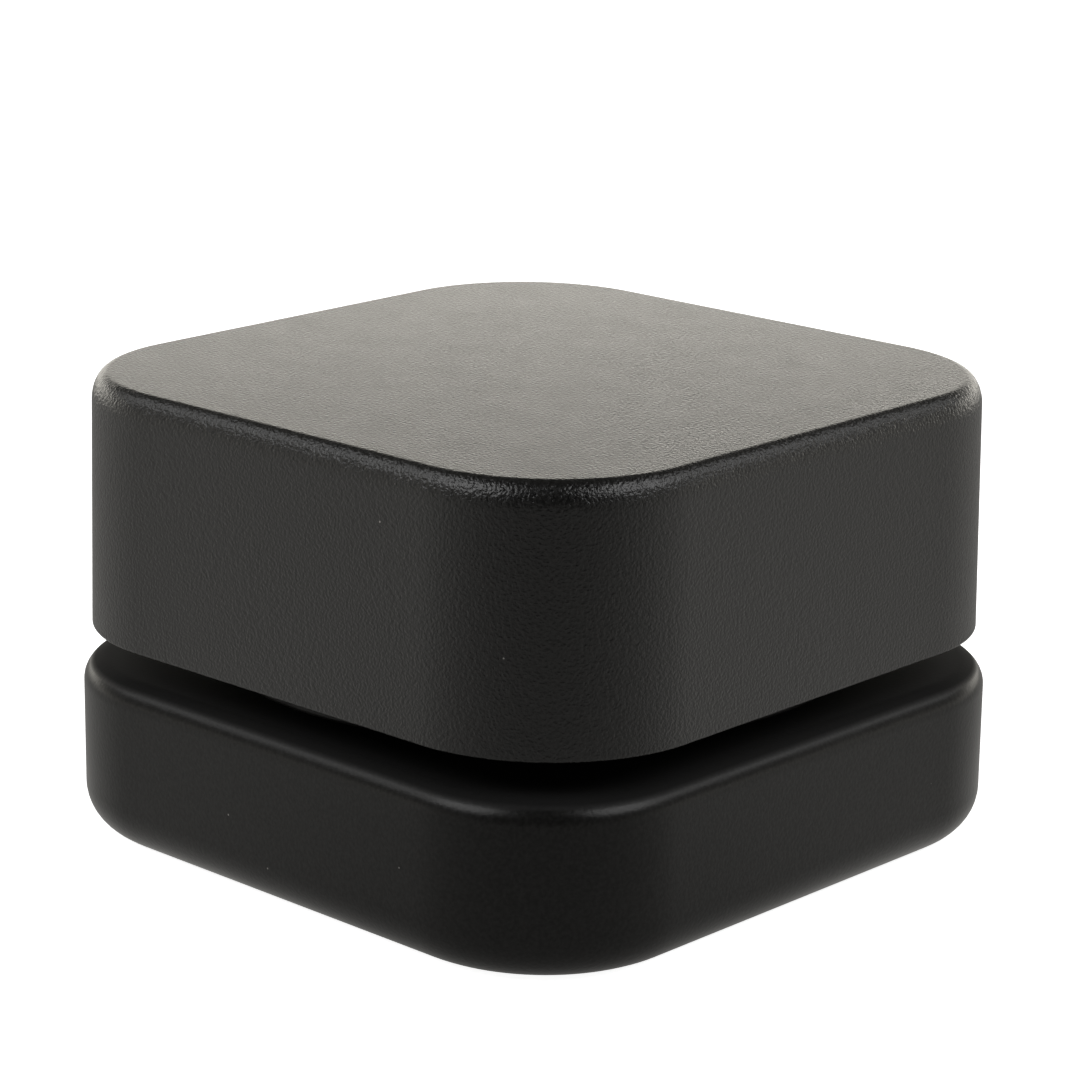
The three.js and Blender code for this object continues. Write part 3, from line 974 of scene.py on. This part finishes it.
def add_panel(name, at, towards, width, height, radiance, colour=(1, 1, 1)):
    """A glowing rectangle at a place, facing back along towards. Lengths are in metres."""
    data = bpy.data.lights.new(name, "AREA")
    data.shape = "RECTANGLE"
    data.size = width
    data.size_y = height
    data.color = colour
    data.energy = radiance * math.pi * data.size * data.size_y
    light = bpy.data.objects.new(name, data)
    light.location = at
    light.rotation_euler = towards.to_track_quat("Z", "Y").to_euler()
    light.visible_camera = False
    bpy.context.scene.collection.objects.link(light)


# A low bright panel just behind the object, which the cap's top mirrors.
PANEL_DISTANCE = 85
PANEL_LOW = 20
PANEL_HIGH = 45
PANEL_WIDTH = 280
PANEL_RADIANCE = 1.8


def add_back_panel():
    middle = Vector((0, 0, (PANEL_HIGH + PANEL_LOW) / 2))
    at = (middle - FRONT * PANEL_DISTANCE) * MM
    width, height = PANEL_WIDTH * MM, (PANEL_HIGH - PANEL_LOW) * MM
    add_panel("back_panel", at, -FRONT, width, height, PANEL_RADIANCE, WARM)


# Soft boxes on each side. Azimuth (from the camera's direction), elevation, width and
# height are angles in degrees, as seen from the top of the cap.
BOX_DISTANCE = 0.6  # metres
SOFTBOXES = {
    "key": {"azimuth": 58, "elevation": 42, "width": 34, "height": 26, "radiance": 3.9},
    "fill": {"azimuth": 100, "elevation": 38, "width": 36, "height": 26, "radiance": 1.6},
}


def add_softbox(name, side, box):
    """A soft box to the right (side 1) or to the left (side -1)."""
    a, e = math.radians(side * box["azimuth"]), math.radians(box["elevation"])
    level = FRONT * math.cos(a) + RIGHT * math.sin(a)
    towards = level * math.cos(e) + Vector((0, 0, math.sin(e)))
    at = towards * BOX_DISTANCE + Vector((0, 0, CAP_TOP_Z * MM))
    width = 2 * BOX_DISTANCE * math.tan(math.radians(box["width"] / 2))
    height = 2 * BOX_DISTANCE * math.tan(math.radians(box["height"] / 2))
    add_panel(name, at, towards, width, height, box["radiance"])


add_world()
add_floor()
add_back_panel()
for side, side_name in ((-1, "left"), (1, "right")):
    for box_name, box in SOFTBOXES.items():
        add_softbox(f"{side_name}_{box_name}", side, box)

bpy.context.scene.view_settings.view_transform = "Standard"
